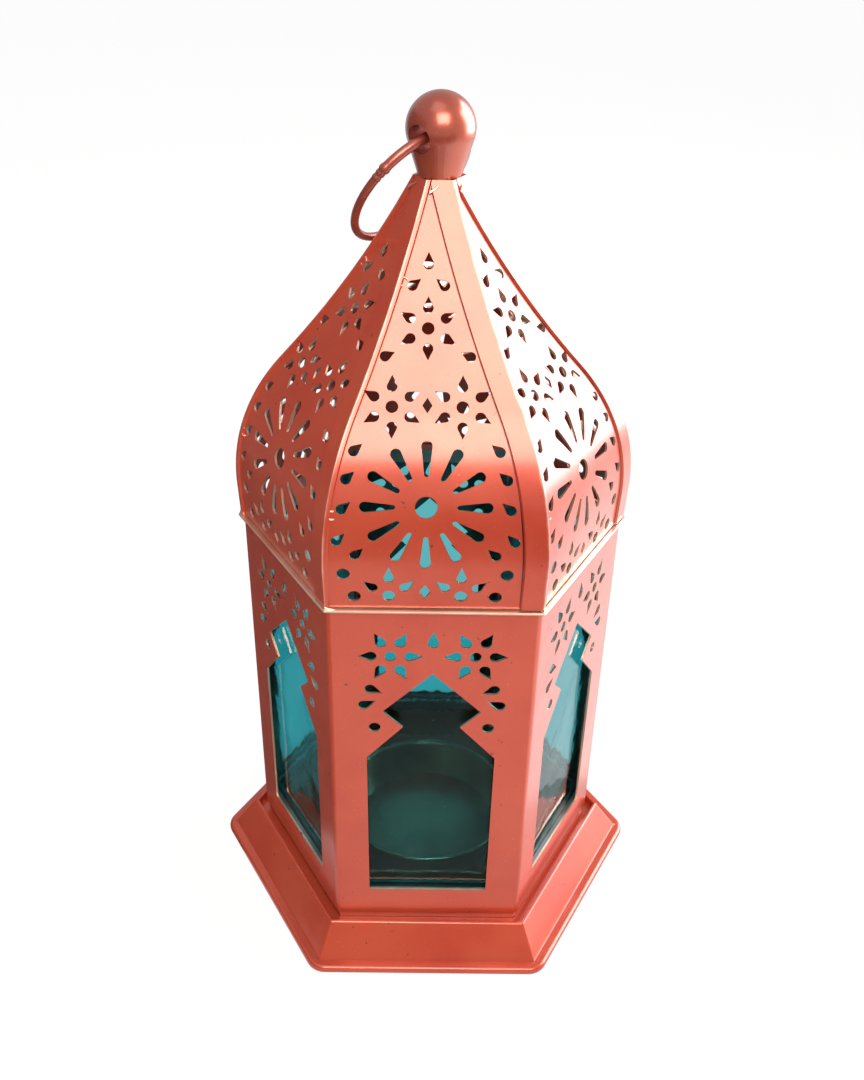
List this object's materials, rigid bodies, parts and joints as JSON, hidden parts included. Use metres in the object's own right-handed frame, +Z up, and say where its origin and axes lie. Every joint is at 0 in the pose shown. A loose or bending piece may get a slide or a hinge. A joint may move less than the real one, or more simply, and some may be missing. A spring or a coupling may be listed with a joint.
{
  "type": "candle lantern",
  "caption": "Hexagonal pierced metal candle lantern with coloured panes, an ogee roof, a hanging ring and a lift-off base with a candle cup.",
  "frame": {"origin": "on the floor, under the middle of the base", "axes": "+Z up along the lantern's axis, -Y towards the front face"},
  "size_m": [0.1092, 0.096, 0.1957],
  "materials": {
    "copper_lacquer": "satin metallic copper lacquer",
    "finial_copper": "glossy metallic copper lacquer",
    "cup_metal": "satin metallic copper lacquer with a bright rim",
    "turquoise_pane": "clear turquoise",
    "plain_steel": "plain sheet"
  },
  "bodies": {
    "base": {"base_pan": "copper_lacquer", "locating_collar": "copper_lacquer", "candle_cup": "cup_metal"},
    "housing": {"wall_front": "copper_lacquer", "wall_rear": "copper_lacquer", "pane_rail_lower": "plain_steel", "pane_rail_upper": "plain_steel", "pane_rear_right": "turquoise_pane", "pane_rear": "turquoise_pane", "pane_rear_left": "turquoise_pane", "pane_front_left": "turquoise_pane", "pane_front": "turquoise_pane", "pane_front_right": "turquoise_pane", "roof_rear_right": "copper_lacquer", "roof_rear": "copper_lacquer", "roof_rear_left": "copper_lacquer", "roof_front_left": "copper_lacquer", "roof_front": "copper_lacquer", "roof_front_right": "copper_lacquer", "finial": "finial_copper", "crown_plate": "plain_steel", "finial_screw": "plain_steel"},
    "ring": {"hanging_ring": "finial_copper"}
  },
  "joints": [
    {"name": "housing_lift", "type": "slide", "parent": "base", "child": "housing", "axis": [0, 0, 1], "range_m": [0, 0.1]},
    {"name": "ring_swing", "type": "hinge", "parent": "housing", "child": "ring", "pos_m": [0, 0, 0.18748], "axis": [0.6691, 0.7431, 0], "range_deg": [0, 291]}
  ]
}
